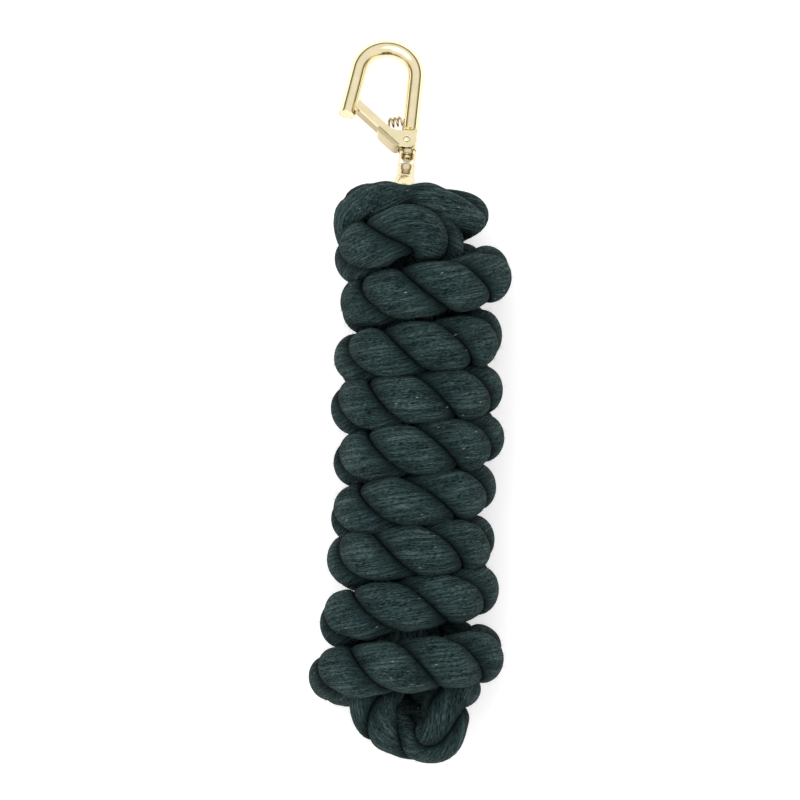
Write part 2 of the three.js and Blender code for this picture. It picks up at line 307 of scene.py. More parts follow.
# Brass
POLISHED_ROUGHNESS = 0.07
CAST_ROUGHNESS = 0.15
WIRE_ROUGHNESS = 0.22
UNEVEN_SCALE = 180           # cells in a metre
UNEVEN_GLOSS = 0.07
UNEVEN_SHADE = 0.90
# Extra roughness where the dark reflection is painted
DARK_REFLECTION_ROUGHNESS = 0.06
MARK_SCALE = 2600
MARK_BUMP = (0.06, 0.00005)

SEED = 7


# ---- Camera, floor and light ----------------------------------------------------------------

def make_camera():
    data = bpy.data.cameras.new("camera")
    data.sensor_width = SENSOR_WIDTH
    data.lens = SENSOR_WIDTH * (CAMERA_HEIGHT - HANK_MIDDLE_Z * MM) / VIEW_WIDTH
    camera = bpy.data.objects.new("camera", data)
    camera.location = (*CAMERA_AIM, CAMERA_HEIGHT)
    bpy.context.collection.objects.link(camera)
    bpy.context.scene.camera = camera


def make_floor():
    half = FLOOR_HALF
    corners = [(-half, -half, 0), (half, -half, 0), (half, half, 0), (-half, half, 0)]
    mesh = bpy.data.meshes.new("floor")
    mesh.from_pydata(corners, [], [(0, 1, 2, 3)])
    floor = bpy.data.objects.new("floor", mesh)
    bpy.context.collection.objects.link(floor)
    material = bpy.data.materials.new("floor")
    material.use_nodes = True
    shader = material.node_tree.nodes["Principled BSDF"]
    shader.inputs["Base Color"].default_value = FLOOR_COLOUR
    shader.inputs["Roughness"].default_value = FLOOR_ROUGHNESS
    shader.inputs["Specular IOR Level"].default_value = 0.0
    shader.inputs["Emission Color"].default_value = (1, 1, 1, 1)
    shader.inputs["Emission Strength"].default_value = FLOOR_GLOW
    mesh.materials.append(material)


def make_key_light():
    data = bpy.data.lights.new("key", "AREA")
    data.size = KEY_SIZE
    data.energy = KEY_POWER
    lamp = bpy.data.objects.new("key", data)
    lamp.location = KEY_PLACE
    lamp.rotation_euler = (-Vector(KEY_PLACE)).to_track_quat("-Z", "Y").to_euler()
    bpy.context.collection.objects.link(lamp)


def make_lights():
    """A pale studio that is darker round the horizon, so that the metal has edges to show."""
    bpy.context.scene.view_settings.view_transform = "Standard"
    world = bpy.data.worlds.new("studio")
    bpy.context.scene.world = world
    world.use_nodes = True
    tree = world.node_tree
    background = tree.nodes["Background"]
    place = tree.nodes.new("ShaderNodeTexCoord")
    parts = tree.nodes.new("ShaderNodeSeparateXYZ")
    ramp = tree.nodes.new("ShaderNodeValToRGB")
    tree.links.new(place.outputs["Generated"], parts.inputs["Vector"])
    tree.links.new(parts.outputs["Z"], ramp.inputs["Fac"])
    tree.links.new(ramp.outputs["Color"], background.inputs["Color"])
    horizon, between, zenith = SKY
    first, last = ramp.color_ramp.elements
    first.position, first.color = horizon
    last.position, last.color = zenith
    middle = ramp.color_ramp.elements.new(between[0])
    middle.color = between[1]
    background.inputs["Strength"].default_value = WORLD_STRENGTH
    make_key_light()


# ---- Mesh helpers ---------------------------------------------------------------------------

def placed(points):
    """Points in the working frame, in millimetres, as metres in the row frame."""
    return (np.asarray(points, float) + CENTRING) * MM


def hook_matrix():
    """From the hook's own frame, in millimetres, to the row frame."""
    turn = Matrix.Rotation(HOOK_YAW, 4, "Z") @ Matrix.Rotation(HOOK_DROOP, 4, "X")
    return Matrix.Translation(placed(EYE_CENTRE)) @ turn @ Matrix.Scale(MM, 4)


def add_piece(name, vertices, faces, material, smooth_angle=None):
    mesh = bpy.data.meshes.new(name)
    mesh.from_pydata([tuple(v) for v in vertices], [], [tuple(f) for f in faces])
    if material:
        mesh.materials.append(material)
    mesh.shade_smooth()
    if smooth_angle is not None:
        mesh.set_sharp_from_angle(angle=math.radians(smooth_angle))
    mesh.update()
    piece = bpy.data.objects.new(name, mesh)
    bpy.context.collection.objects.link(piece)
    return piece


def grid_faces(rings, sides):
    """Quads between successive rings, each closed round on itself."""
    faces = []
    for ring in range(rings - 1):
        for side in range(sides):
            a = ring * sides + side
            b = ring * sides + (side + 1) % sides
            faces.append((a, b, b + sides, a + sides))
    return faces


def capped_rings(rings):
    """Vertices and faces of a skin over a list of rings, closed at both ends."""
    sides = len(rings[0])
    vertices = np.concatenate(rings)
    faces = grid_faces(len(rings), sides)
    faces.append(tuple(range(sides - 1, -1, -1)))
    faces.append(tuple(range((len(rings) - 1) * sides, len(rings) * sides)))
    return vertices, faces


def merged(parts):
    """Several vertex and face lists as one."""
    vertices, faces, first = [], [], 0
    for part_vertices, part_faces in parts:
        vertices.append(np.asarray(part_vertices, float))
        faces += [tuple(first + index for index in face) for face in part_faces]
        first += len(part_vertices)
    return np.concatenate(vertices), faces


def smoothstep(low, high, value):
    """0 below low and 1 above high, with a smooth rise between them."""
    t = np.clip((np.asarray(value, float) - low) / (high - low), 0, 1)
    return t * t * (3 - 2 * t)


# ---- The rope's middle line -----------------------------------------------------------------

def turn_points(start, end, side):
    """Half a turn across the front (side 1) or the back (side -1) of the hank."""
    middle = (start[0] + end[0]) / 2
    reach = (end[0] - start[0]) / 2
    points = []
    for i in range(POINTS_PER_HALF_TURN):
        angle = math.pi * i / POINTS_PER_HALF_TURN
        x = middle - reach * math.cos(angle)
        y = start[1] + (end[1] - start[1]) * i / POINTS_PER_HALF_TURN
        points.append((x, y, HANK_MIDDLE_Z + side * TURN_HALF_DEPTH * math.sin(angle)))
    return points


def rope_route():
    """Every point the rope passes through, from the splice's inner end to the tail."""
    route = SPLICE_ROUTE + EYE_LOOP_ROUTE + CORE_ROUTE + BIGHT_ROUTE
    top_left = TAIL_ROUTE[0][:2]
    for index, (left, right, _) in enumerate(TURNS):
        above = TURNS[index + 1][0] if index + 1 < len(TURNS) else top_left
        route = route + turn_points(left, right, 1) + turn_points(right, above, -1)
    return np.array(route + TAIL_ROUTE, float)


def smooth_line(points, spacing):
    """Evenly spaced points on a centripetal Catmull-Rom curve through the given points."""
    padded = np.vstack([2 * points[0] - points[1], points, 2 * points[-1] - points[-2]])
    fine = []
    for i in range(1, len(padded) - 2):
        p = padded[i - 1:i + 3]
        knots = np.concatenate([[0], np.cumsum(np.linalg.norm(np.diff(p, axis=0), axis=1) ** 0.5)])
        t = np.linspace(knots[1], knots[2], CURVE_STEPS, endpoint=False)[:, None]

        def between(a, b, low, high):
            return ((knots[high] - t) * a + (t - knots[low]) * b) / (knots[high] - knots[low])

        a = [between(p[k], p[k + 1], k, k + 1) for k in range(3)]
        b = [between(a[k], a[k + 1], k, k + 2) for k in range(2)]
        fine.append(between(b[0], b[1], 1, 2))
    fine.append(padded[-2][None, :])
    return resampled(np.concatenate(fine), spacing)


def resampled(points, spacing):
    """Points evenly spaced along straight stretches between the given points."""
    along = np.concatenate([[0], np.cumsum(np.linalg.norm(np.diff(points, axis=0), axis=1))])
    stations = np.linspace(0, along[-1], int(round(along[-1] / spacing)) + 1)
    return np.stack([np.interp(stations, along, points[:, axis]) for axis in range(3)], 1)


def relaxed(values, reach):
    """Values averaged with their neighbours, the two ends held."""
    kernel = np.exp(-0.5 * (np.arange(-3 * reach, 3 * reach + 1) / reach) ** 2)
    kernel /= kernel.sum()
    edge = 3 * reach
    columns = []
    for column in np.atleast_2d(values.T):
        start = 2 * column[0] - column[edge:0:-1]
        end = 2 * column[-1] - column[-2:-edge - 2:-1]
        columns.append(np.convolve(np.concatenate([start, column, end]), kernel, "valid"))
    return np.array(columns).T.reshape(values.shape)


def transported_frames(line):
    """Tangents, and two directions across that turn as little as possible along the line."""
    tangents = np.gradient(line, axis=0)
    tangents /= np.linalg.norm(tangents, axis=1)[:, None]
    across = np.zeros_like(line)
    direction = np.cross(tangents[0], [0.0, 0.0, 1.0])
    for i, tangent in enumerate(tangents):
        direction = direction - tangent * direction.dot(tangent)
        direction = direction / np.linalg.norm(direction)
        across[i] = direction
    return tangents, across, np.cross(tangents, across)


def front_directions(tangents):
    """At each point, the direction squarely across the rope that is nearest to straight up."""
    facing = np.array([0.0, 0.0, 1.0]) - tangents * tangents[:, 2:]
    return facing / np.linalg.norm(facing, axis=1)[:, None]


def strand_turn(line, tangents, across, upward, spacing):
    """How far the strands have turned about the rope at each point of its line.

    The turn is set where a groove is known to cross the front, and runs evenly in between.
    """
    turn_grooves = [(groove, (left[1] + right[1]) / 2) for left, right, groove in TURNS]
    rate = 2 * math.pi / LAY_LENGTH
    stations, angles = [], []
    heading_right = tangents[:, 0] > HEADING_RIGHT
    facing = front_directions(tangents)
    groove_line = line + facing * ROPE_RADIUS * VALLEY
    for groove_x, groove_y in [BIGHT_GROOVE] + turn_grooves + [TOP_TURN_GROOVE]:
        near = heading_right & (np.abs(line[:, 1] - groove_y) < GROOVE_SEARCH_HEIGHT)
        candidates = np.flatnonzero(near)
        station = candidates[np.argmin(np.abs(groove_line[candidates, 0] - groove_x))]
        front = math.atan2(
            facing[station].dot(upward[station]), facing[station].dot(across[station])
        )
        angle = front - math.pi / STRANDS
        if angles:
            expected = angles[-1] + rate * spacing * (station - stations[-1])
            step = 2 * math.pi / STRANDS
            angle += step * round((expected - angle) / step)
        stations.append(station)
        angles.append(angle)
    index = np.arange(len(line))
    turn = np.interp(index, stations, angles)
    before = index < stations[0]
    after = index > stations[-1]
    turn[before] = angles[0] + rate * spacing * (index[before] - stations[0])
    turn[after] = angles[-1] + rate * spacing * (index[after] - stations[-1])
    return relaxed(turn, TURN_SMOOTHING)


def rope_radius(line):
    """The crest radius along the rope: tight round the eye, a little slimmer at the bight."""
    radius = np.full(len(line), ROPE_RADIUS)
    index = np.arange(len(line))
    past_loop = (line[:, 1] < LOOP_END_Y) & (index > len(line) // SPLICE_PARTS)
    in_loop = (index < np.flatnonzero(past_loop)[0]).astype(float)
    in_bight = ((line[:, 1] < BIGHT_START_Y) & (index < len(line) // 2)).astype(float)
    radius += relaxed(in_loop, FADE_SMOOTHING) * (LOOP_RADIUS - ROPE_RADIUS)
    radius += relaxed(in_bight, FADE_SMOOTHING) * (BIGHT_RADIUS - ROPE_RADIUS)
    return radius


def wound_shear(line):
    """How far each section leans along the rope: not at all until the rope is wound round."""
    index = np.arange(len(line))
    last_in_bight = np.flatnonzero(line[:, 1] < BIGHT_END_Y)[-1]
    return relaxed((index > last_in_bight).astype(float), FADE_SMOOTHING) * WOUND_SHEAR


# ---- Strands --------------------------------------------------------------------------------

def strand_profile():
    """Angles and radii of a strand's section, the radii as parts of the rope's crest radius."""
    share = np.sin(np.linspace(-math.pi / 2, math.pi / 2, ARC_POINTS))
    crest = VALLEY + (1 - VALLEY) * np.sqrt(1 - np.abs(share) ** PROFILE_POWER)
    angles = share * STRAND_HALF_ANGLE
    inner_angles = np.array([1.0, 0.0, -1.0]) * STRAND_HALF_ANGLE
    inner_radii = np.full(len(inner_angles), CORE_RADIUS)
    return np.concatenate([angles, inner_angles]), np.concatenate([crest, inner_radii])


def lumps(rng, along, around, amplitude):
    """Soft unevenness along and around a strand."""
    total = np.zeros((len(along), len(around)))
    for _ in range(LUMP_WAVES):
        length = rng.uniform(*LUMP_LENGTHS)
        waves = rng.integers(-2, 3)
        phase = rng.uniform(0, 2 * math.pi)
        total += np.cos(2 * math.pi * along[:, None] / length + waves * around[None, :] + phase)
    return amplitude * total / math.sqrt(LUMP_WAVES)


def make_strand(number, line, frames, turn, radius, along, material, rng):
    tangents, across, upward = frames
    angles, radii = strand_profile()
    centre_turn = turn + 2 * math.pi * number / STRANDS
    around = centre_turn[:, None] + angles[None, :]
    reach = radius[:, None] * radii[None, :]
    outer = np.zeros(len(angles))
    outer[:ARC_POINTS] = 1
    reach = reach + lumps(rng, along, angles, STRAND_LUMPS) * outer
    offsets = (
        (reach * np.cos(around))[:, :, None] * across[:, None, :]
        + (reach * np.sin(around))[:, :, None] * upward[:, None, :]
    )
    lean = wound_shear(line)[:, None] * offsets[:, :, 1]
    points = line[:, None, :] + offsets + lean[:, :, None] * tangents[:, None, :]
    vertices, faces = capped_rings(list(placed(points)))
    strand = add_piece(f"rope_strand_{'abc'[number]}", vertices, faces, material)
    groove = np.abs(np.broadcast_to(angles / STRAND_HALF_ANGLE, reach.shape))
    add_values(strand, {
        "yarn_across": around * ROPE_RADIUS,
        "yarn_along": np.broadcast_to(along[:, None], reach.shape) + YARN_OFFSET * number,
        "groove": np.where(outer[None, :] > 0, groove, 1.0),
    })
    return strand


def make_tuck(material, rng):
    """One strand by itself, its own yarns turning slowly about it."""
    line = relaxed(smooth_line(np.array(TUCK_ROUTE, float), TUCK_SPACING), TUCK_SMOOTHING)
    _, across, upward = transported_frames(line)
    along = np.arange(len(line)) * TUCK_SPACING
    angles = np.linspace(0, 2 * math.pi, TUCK_SIDES, endpoint=False)
    bow = np.sin(np.linspace(TUCK_END_ANGLE, math.pi - TUCK_END_ANGLE, len(line)))
    taper = bow ** TUCK_TAPER_POWER
    pinch = 1 - TUCK_PINCH * np.exp(-((line[:, 0] - TUCK_PINCH_X) / TUCK_PINCH_REACH) ** 2)
    reach = (TUCK_RADIUS * taper * pinch)[:, None] + lumps(rng, along, angles, TUCK_LUMPS)
    points = (
        line[:, None, :]
        + (reach * np.cos(angles))[:, :, None] * across[:, None, :]
        + (reach * np.sin(angles))[:, :, None] * upward[:, None, :]
    )
    vertices, faces = capped_rings(list(placed(points)))
    tuck = add_piece("rope_splice_tuck", vertices, faces, material)
    twist = angles[None, :] * TUCK_RADIUS + TUCK_YARN_TWIST * along[:, None]
    shade = TUCK_SHADE + TUCK_PINCH_SHADE * (1 - pinch[:, None])
    add_values(tuck, {
        "yarn_across": twist,
        "yarn_along": np.broadcast_to(along[:, None], reach.shape),
        "groove": np.broadcast_to(shade, reach.shape),
    })
    return tuck


def add_values(piece, values):
    """Store a named value for each of a piece's points, for its material to read."""
    for name, value in values.items():
        layer = piece.data.attributes.new(name, "FLOAT", "POINT")
        layer.data.foreach_set("value", np.ascontiguousarray(value, np.float32).ravel())


def fibre_roots(strands, rng):
    """Where the fibres leave the strands, and the way out of the cotton there."""
    roots, normals = [], []
    for strand in strands:
        mesh = strand.data
        places = np.zeros(len(mesh.vertices) * 3)
        mesh.vertices.foreach_get("co", places)
        directions = np.zeros(len(mesh.vertices) * 3)
        mesh.vertex_normals.foreach_get("vector", directions)
        groove = np.zeros(len(mesh.vertices))
        mesh.attributes["groove"].data.foreach_get("value", groove)
        outside = np.flatnonzero(groove < FIBRE_DEEPEST_ROOT)
        chosen = rng.choice(outside, FIBRES // len(strands))
        roots.append(places.reshape(-1, 3)[chosen])
        normals.append(directions.reshape(-1, 3)[chosen])
    return np.concatenate(roots), np.concatenate(normals)


def fibre_faces(count):
    """Faces of that many tubes, whose corners follow one another ring by ring."""
    per_fibre = FIBRE_SIDES * (FIBRE_SEGMENTS + 1)
    pattern = grid_faces(FIBRE_SEGMENTS + 1, FIBRE_SIDES)
    pattern.append(tuple(range(FIBRE_SIDES - 1, -1, -1)))
    pattern.append(tuple(range(per_fibre - FIBRE_SIDES, per_fibre)))
    return [tuple(index + per_fibre * fibre for index in face)
            for fibre in range(count) for face in pattern]


def make_fuzz(strands, material, rng):
    """Short curved fibres, each a thin tube, rooted on the strands' outsides."""
    roots, normals = fibre_roots(strands, rng)
    count = len(roots)
    length = rng.uniform(*FIBRE_REACH, count)[:, None] * MM
    lean = rng.normal(0, 1, (count, 3))
    curl = rng.normal(0, 1, (count, 3))
    directions = normals + FIBRE_LEAN * lean
    directions /= np.linalg.norm(directions, axis=1)[:, None]
    inwards = (directions * normals).sum(1) < 0
    directions[inwards] *= -1
    side = np.cross(directions, curl)
    side /= np.linalg.norm(side, axis=1)[:, None]
    other = np.cross(directions, side)
    corners = []
    for step in range(FIBRE_SEGMENTS + 1):
        share = step / FIBRE_SEGMENTS
        way = directions + FIBRE_CURL * share * side
        centre = roots - normals * FIBRE_ROOT_DEPTH * MM + length * share * way
        thickness = FIBRE_THICKNESS * MM * (1 - FIBRE_TAPER * share)
        for corner in range(FIBRE_SIDES):
            angle = 2 * math.pi * corner / FIBRE_SIDES
            offset = thickness * (math.cos(angle) * side + math.sin(angle) * other)
            corners.append(centre + offset)
    vertices = np.stack(corners, 1).reshape(-1, 3)
    return add_piece("rope_fuzz", vertices, fibre_faces(count), material)


def make_rope(material):
    route = rope_route()
    line = relaxed(smooth_line(route, RING_SPACING), LINE_SMOOTHING)
    frames = transported_frames(line)
    turn = strand_turn(line, *frames, RING_SPACING)
    radius = rope_radius(line)
    steps = np.linalg.norm(np.diff(line, axis=0), axis=1)
    along = np.concatenate([[0], np.cumsum(steps)])
    rng = np.random.default_rng(SEED)
    strands = [
        make_strand(number, line, frames, turn, radius, along, material, rng)
        for number in range(STRANDS)
    ]
    others = [make_tuck(material, rng), make_fuzz(strands, fuzz_material(), rng)]
    for piece in strands + others:
        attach(piece, "rope")
    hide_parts("rope_hank", "rope_eye_loop", "rope_bottom_bight")


# ---- Hook pieces ----------------------------------------------------------------------------

def hook_piece(name, parts, material, body, node, smooth_angle=SHARP_ABOVE, bevel=None):
    """A hook piece from parts in the hook's own frame, standing for the CAD node."""
    vertices, faces = merged(parts)
    matrix = np.array(hook_matrix())
    world = vertices @ matrix[:3, :3].T + matrix[:3, 3]
    piece = add_piece(name, world, faces, material, smooth_angle)
    if bevel:
        modifier = piece.modifiers.new("bevel", "BEVEL")
        modifier.width = bevel * MM
        modifier.segments = ROUNDING_SEGMENTS
        modifier.angle_limit = ROUNDED_ABOVE
        modifier.harden_normals = True
    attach(piece, body)
    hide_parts(node)
    return piece


def swept(line, radius, sides, ends):
    """A round bar along a line of points, its end faces' edges rounded off."""
    tangents, across, upward = transported_frames(line)
    angles = np.linspace(0, 2 * math.pi, sides, endpoint=False)
    rings = []

    def ring(place, reach, index):
        circle = np.cos(angles)[:, None] * across[index] + np.sin(angles)[:, None] * upward[index]
        return place + reach * circle

    rounding = np.linspace(0, math.pi / 2, ROUNDING_STEPS)
    for angle in rounding[:-1]:
        place = line[0] + tangents[0] * ends * (1 - math.sin(angle))
        rings.append(ring(place, radius - ends * (1 - math.sin(angle)), 0))
    for index in range(1, len(line) - 1):
        rings.append(ring(line[index], radius, index))
    for angle in rounding[::-1][1:]:
        place = line[-1] - tangents[-1] * ends * (1 - math.sin(angle))
        rings.append(ring(place, radius - ends * (1 - math.sin(angle)), -1))
    rings[0] = ring(line[0], radius - ends, 0)
    rings[-1] = ring(line[-1], radius - ends, -1)
    return capped_rings(rings)


def turned(profile, sides, axis):
    """A body turned about the hook's y axis or, through the pivot, about z."""
    angles = np.linspace(0, 2 * math.pi, sides, endpoint=False)
    rings = []
    for radius, height in profile:
        reach = max(radius, 1e-3)
        level = np.full(sides, float(height))
        if axis == "y":
            rings.append(np.stack([reach * np.sin(angles), level, reach * np.cos(angles)], 1))
        else:
            x = PIVOT[0] + reach * np.cos(angles)
            y = PIVOT[1] + reach * np.sin(angles)
            rings.append(np.stack([x, y, level], 1))
    return capped_rings(rings)


def slab(outline, low, high):
    """A flat plate with the given outline, anticlockwise, between two heights in z."""
    bottom = np.array([(x, y, low) for x, y in outline])
    top = np.array([(x, y, high) for x, y in outline])
    return capped_rings([bottom, top])


def bar_line():
    """The bar's middle line: up the shank, over the bow and down the leg to the tip."""
    shank = [(0, y, 0) for y in np.arange(SHANK_BOTTOM_Y, BOW_CENTRE_Y, BAR_SPACING)]
    bow = []
    for angle in np.linspace(0, math.pi, BOW_STEPS, endpoint=False):
        x = BOW_RADIUS * (math.cos(angle) - 1)
        bow.append((x, BOW_CENTRE_Y + BOW_RADIUS * math.sin(angle), 0))
    start = np.array([-2 * BOW_RADIUS, BOW_CENTRE_Y, 0])
    tip = np.array([*BOW_TIP, 0])
    leg = [tuple(start + (tip - start) * share) for share in np.linspace(0, 1, LEG_STEPS)]
    return relaxed(resampled(np.array(shank + bow + leg), BAR_SPACING), BAR_SMOOTHING)


def hook_body_parts():
    """The bar, pressed flat where the gate's sides pass it, and the swivel stud below it."""
    vertices, faces = swept(bar_line(), BAR_RADIUS, BAR_SIDES, BAR_END_ROUNDING)
    on_shank = vertices[:, 0] > -BOW_RADIUS
    limit = FLAT_HALF_THICKNESS + (BAR_RADIUS - FLAT_HALF_THICKNESS) * smoothstep(
        FLAT_TOP_Y, FLAT_TOP_Y + FLAT_STEP, vertices[:, 1]
    )
    flattened = np.clip(vertices[:, 2], -limit, limit)
    vertices[:, 2] = np.where(on_shank, flattened, vertices[:, 2])
    head_top = PLATE_BOTTOM_Y - CLEARANCE
    crown = head_top - STUD_HEAD_HEIGHT
    stud_top = SHANK_BOTTOM_Y + 1
    profile = [
        (0, crown), (STUD_HEAD_RADIUS * STUD_HEAD_CROWN, crown),
        (STUD_HEAD_RADIUS, head_top - STUD_HEAD_HEIGHT * STUD_HEAD_EDGE),
        (STUD_HEAD_RADIUS, head_top), (STUD_RADIUS, head_top), (STUD_RADIUS, stud_top),
        (0, stud_top),
    ]
    return [(vertices, faces), turned(profile, PIN_SIDES, "y")]


def gate_side():
    """The outline of one side of the gate, with a round end about the pivot."""
    upper_x, upper_y = GATE_UPPER_EDGE[-1]
    start = math.atan2(upper_y - PIVOT[1], upper_x - PIVOT[0])
    outline = [GATE_UPPER_TIP, GATE_LOWER_TIP, GATE_LOWER_END]
    for angle in np.linspace(-math.pi / 2, start, GATE_ARC_STEPS):
        x = PIVOT[0] + GATE_ROUND_END_RADIUS * math.cos(angle)
        outline.append((x, PIVOT[1] + GATE_ROUND_END_RADIUS * math.sin(angle)))
    return outline + GATE_UPPER_EDGE[::-1][1:]


def on_gate_edge(corners):
    """Corners given as a share of the gate's lower edge and a depth inwards, in x and y."""
    tip, end = np.array(GATE_LOWER_TIP), np.array(GATE_LOWER_END)
    edge = (end - tip) / np.linalg.norm(end - tip)
    inwards = np.array([-edge[1], edge[0]])
    return [tuple(tip + (end - tip) * along + inwards * depth) for along, depth in corners]


def gate_strip(span, depths):
    """A strip along the gate's lower edge, between two depths."""
    low, high = depths
    return on_gate_edge([(span[0], low), (span[1], low), (span[1], high), (span[0], high)])


def thumb_pad():
    """A raised pad on the gate's lower edge, its two ends rolled over."""
    start, stop = THUMB_PAD_SPAN
    roll = THUMB_PAD_ROLL
    base = GATE_WALL * THUMB_PAD_BASE
    corners = [(start, base), (start, 0)]
    for angle in np.linspace(0, math.pi / 2, ARC_STEPS):
        along = start + roll * (1 - math.cos(angle))
        corners.append((along, -THUMB_PAD_HEIGHT * math.sin(angle)))
    for angle in np.linspace(math.pi / 2, 0, ARC_STEPS):
        along = stop - roll * (1 - math.cos(angle))
        corners.append((along, -THUMB_PAD_HEIGHT * math.sin(angle)))
    return on_gate_edge(corners + [(stop, base)])


def gate_sides():
    outer, inner = GATE_HALF_WIDTH, GATE_HALF_WIDTH - GATE_WALL
    return [slab(gate_side(), inner, outer), slab(gate_side(), -outer, -inner)]


def gate_web():
    """The folded edge between the gate's two sides, and the thumb pad on it."""
    outer = GATE_HALF_WIDTH
    strip = gate_strip(WEB_SPAN, (WEB_INSET, GATE_WALL))
    return [
        slab(strip, -outer + WEB_INSET, outer - WEB_INSET),
        slab(thumb_pad(), -outer, outer),
    ]


def rivet_parts():
    """A pin with a domed head on each side of the gate."""
    base = GATE_HALF_WIDTH
    top = base + CLEARANCE + RIVET_HEAD_HEIGHT
    dome = [(RIVET_HEAD_RADIUS * math.cos(a), base + (top - base) * math.sin(a))
            for a in np.linspace(0, math.pi / 2, ARC_STEPS)]
    profile = [(radius, -height) for radius, height in dome[::-1]]
    profile += [(RIVET_RADIUS, -base), (RIVET_RADIUS, base)] + dome
    return [turned(profile, PIN_SIDES, "z")]


def spring_parts():
    steps = int(SPRING_TURNS * SPRING_STEPS)
    axis = (SPRING_TO - SPRING_FROM) / np.linalg.norm(SPRING_TO - SPRING_FROM)
    across = np.array([-axis[1], axis[0], 0])
    points = []
    for i in range(steps + 1):
        angle = 2 * math.pi * SPRING_TURNS * i / steps
        place = SPRING_FROM + (SPRING_TO - SPRING_FROM) * i / steps
        up = np.array([0, 0, SPRING_RADIUS * math.sin(angle)])
        points.append(place + across * SPRING_RADIUS * math.cos(angle) + up)
    return [swept(np.array(points), SPRING_WIRE_RADIUS, SPRING_SIDES, SPRING_END_ROUNDING)]


def ring_part():
    """The eye's ring, an oval section turned about x."""
    middle = (RING_INNER_RADIUS + RING_OUTER_RADIUS) / 2
    thickness = (RING_OUTER_RADIUS - RING_INNER_RADIUS) / 2
    rings = []
    for angle in np.linspace(0, 2 * math.pi, RING_SECTIONS, endpoint=False):
        spin = np.linspace(0, 2 * math.pi, RING_SIDES, endpoint=False)
        radius = middle + thickness * np.cos(spin)
        x = RING_HALF_WIDTH * np.sin(spin)
        rings.append(np.stack([x, radius * math.cos(angle), radius * math.sin(angle)], 1))
    vertices = np.concatenate(rings)
    faces = grid_faces(RING_SECTIONS, RING_SIDES)
    last = (RING_SECTIONS - 1) * RING_SIDES
    for side in range(RING_SIDES):
        following = (side + 1) % RING_SIDES
        faces.append((last + side, last + following, following, side))
    return vertices, faces


def neck_foot():
    """The neck's lower part, widening into the ring."""
    top = WINDOW_BOTTOM_Y
    profile = [(0, NECK_FLARE[0][1])]
    profile += [(NECK_RADIUS * share, y) for share, y in NECK_FLARE]
    profile += [(NECK_RADIUS, top - NECK_EDGE), (NECK_RADIUS - NECK_EDGE, top), (0, top)]
    return turned(profile, NECK_SIDES, "y")


def cast_together(parts, grain, smoothing):
    """Overlapping closed parts as one skin, with the corners between them filled and rounded."""
    rough = add_piece("casting", *merged(parts), None)
    remesh = rough.modifiers.new("remesh", "REMESH")
    remesh.mode = "VOXEL"
    remesh.voxel_size = grain
    smooth = rough.modifiers.new("smooth", "SMOOTH")
    smooth.iterations = smoothing
    skin = rough.evaluated_get(bpy.context.evaluated_depsgraph_get()).to_mesh()
    vertices = np.array([tuple(vertex.co) for vertex in skin.vertices])
    faces = [tuple(face.vertices) for face in skin.polygons]
    bpy.data.objects.remove(rough)
    return vertices, faces


def yoke_parts():
    """Two posts beside the window, and the plate on top of them."""
    bore = STUD_RADIUS + CLEARANCE
    plate = [
        (bore, PLATE_BOTTOM_Y), (NECK_RADIUS - PLATE_LOWER_EDGE, PLATE_BOTTOM_Y),
        (NECK_RADIUS, PLATE_BOTTOM_Y + PLATE_LOWER_EDGE),
        (NECK_RADIUS, YOKE_TOP_Y - PLATE_UPPER_EDGE),
        (NECK_RADIUS - PLATE_UPPER_EDGE, YOKE_TOP_Y), (bore, YOKE_TOP_Y),
    ]
    parts = [turned(plate, NECK_SIDES, "y")]
    half_angle = math.acos(WINDOW_HALF_WIDTH / NECK_RADIUS)
    for side in (1, -1):
        arc = [(NECK_RADIUS * math.cos(a), NECK_RADIUS * math.sin(a))
               for a in np.linspace(-half_angle, half_angle, POST_STEPS)]
        low = np.array([(side * x, WINDOW_BOTTOM_Y - POST_OVERLAP, -side * z) for x, z in arc])
        height = PLATE_BOTTOM_Y - WINDOW_BOTTOM_Y + 2 * POST_OVERLAP
        high = low + np.array([0, height, 0])
        parts.append(capped_rings([low, high]))
    return parts


def make_hook(brass, cast_brass, wire):
    eye = cast_together([ring_part(), neck_foot()], CAST_GRAIN, CAST_SMOOTHING)
    hook_piece(
        "swivel_eye_cast", [eye] + yoke_parts(), cast_brass, "swivel", "swivel_eye",
    )
    hook_piece("hook_bar", hook_body_parts(), brass, "hook", "hook_body")
    sides, web = gate_sides(), gate_web()
    gate = hook_piece(
        "gate_channel", sides + web, brass, "gate", "gate_lever", bevel=GATE_EDGE_ROUNDING,
    )
    # The folded edge and the thumb pad carry a painted dark reflection: their brass colour is
    # darkened
    reflection_shares = [0.0] * len(sides) + [WEB_DARK_REFLECTION, PAD_DARK_REFLECTION]
    counts = [len(vertices) for vertices, _ in sides + web]
    add_values(gate, {"dark_reflection": np.repeat(reflection_shares, counts)})
    hook_piece("gate_rivet_turned", rivet_parts(), brass, "hook", "gate_rivet")
    spring = hook_piece(
        "gate_spring_coil", spring_parts(), wire, "hook", "gate_spring",
        SPRING_SHARP_ABOVE,
    )
    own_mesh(spring)


# ---- Materials ------------------------------------------------------------------------------

